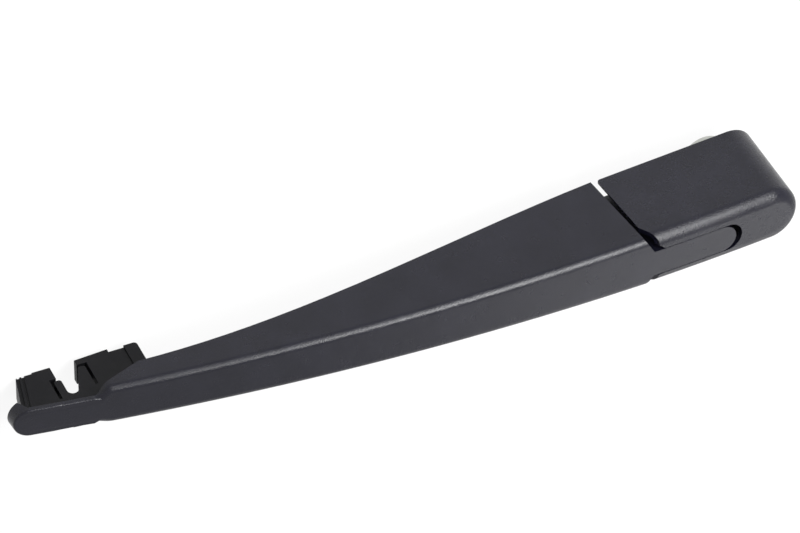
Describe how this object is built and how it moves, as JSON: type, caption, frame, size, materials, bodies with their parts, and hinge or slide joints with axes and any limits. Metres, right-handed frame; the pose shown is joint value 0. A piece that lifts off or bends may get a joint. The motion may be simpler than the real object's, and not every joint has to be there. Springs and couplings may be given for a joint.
{
  "type": "wiper arm",
  "caption": "Rear wiper arm: bowed tapered channel with a hinged, spring-loaded root, a flip-up cap over the spindle hub and a push-fit blade connector at the tip.",
  "frame": {"origin": "on the spindle axis, at the hub's outer face, where the nut sits", "axes": "+X from the spindle to the blade end, +Z away from the glass, Y across the arm"},
  "size_m": [0.3401, 0.0254, 0.0606],
  "materials": {
    "arm_plastic": "fine-grained satin black",
    "cap_plastic": "fine-grained satin black",
    "connector_plastic": "smooth satin black",
    "cast_alloy": "as cast",
    "pin_steel": "ground",
    "strap_steel": "zinc-plated",
    "spring_steel": "drawn wire"
  },
  "bodies": {
    "mount": {"mounting_head": "cast_alloy", "hinge_pin": "pin_steel", "spring_pin": "pin_steel"},
    "arm": {"arm_shell": "arm_plastic", "blade_connector": "connector_plastic", "tension_spring": "spring_steel"},
    "cap": {"head_cap": "cap_plastic"},
    "link": {"spring_link": "strap_steel"}
  },
  "joints": [
    {"name": "arm_lift", "type": "hinge", "parent": "mount", "child": "arm", "pos_m": [0.026, 0, 0.024], "axis": [0, -1, 0], "range_deg": [0, 45], "stiffness_Nm_per_rad": 0.8, "springref_deg": -114.59},
    {"name": "cap_flip", "type": "hinge", "parent": "mount", "child": "cap", "pos_m": [0.026, 0, 0.024], "axis": [0, 1, 0], "range_deg": [0, 60]},
    {"name": "link_pull", "type": "slide", "parent": "arm", "child": "link", "axis": [-0.9916, 0, 0.1297], "range_m": [0, 0.0085], "deforming": ["tension_spring"]}
  ],
  "couplings": [
    {"joint": "link_pull", "follows": "arm_lift", "m_per_rad": 0.010696}
  ]
}
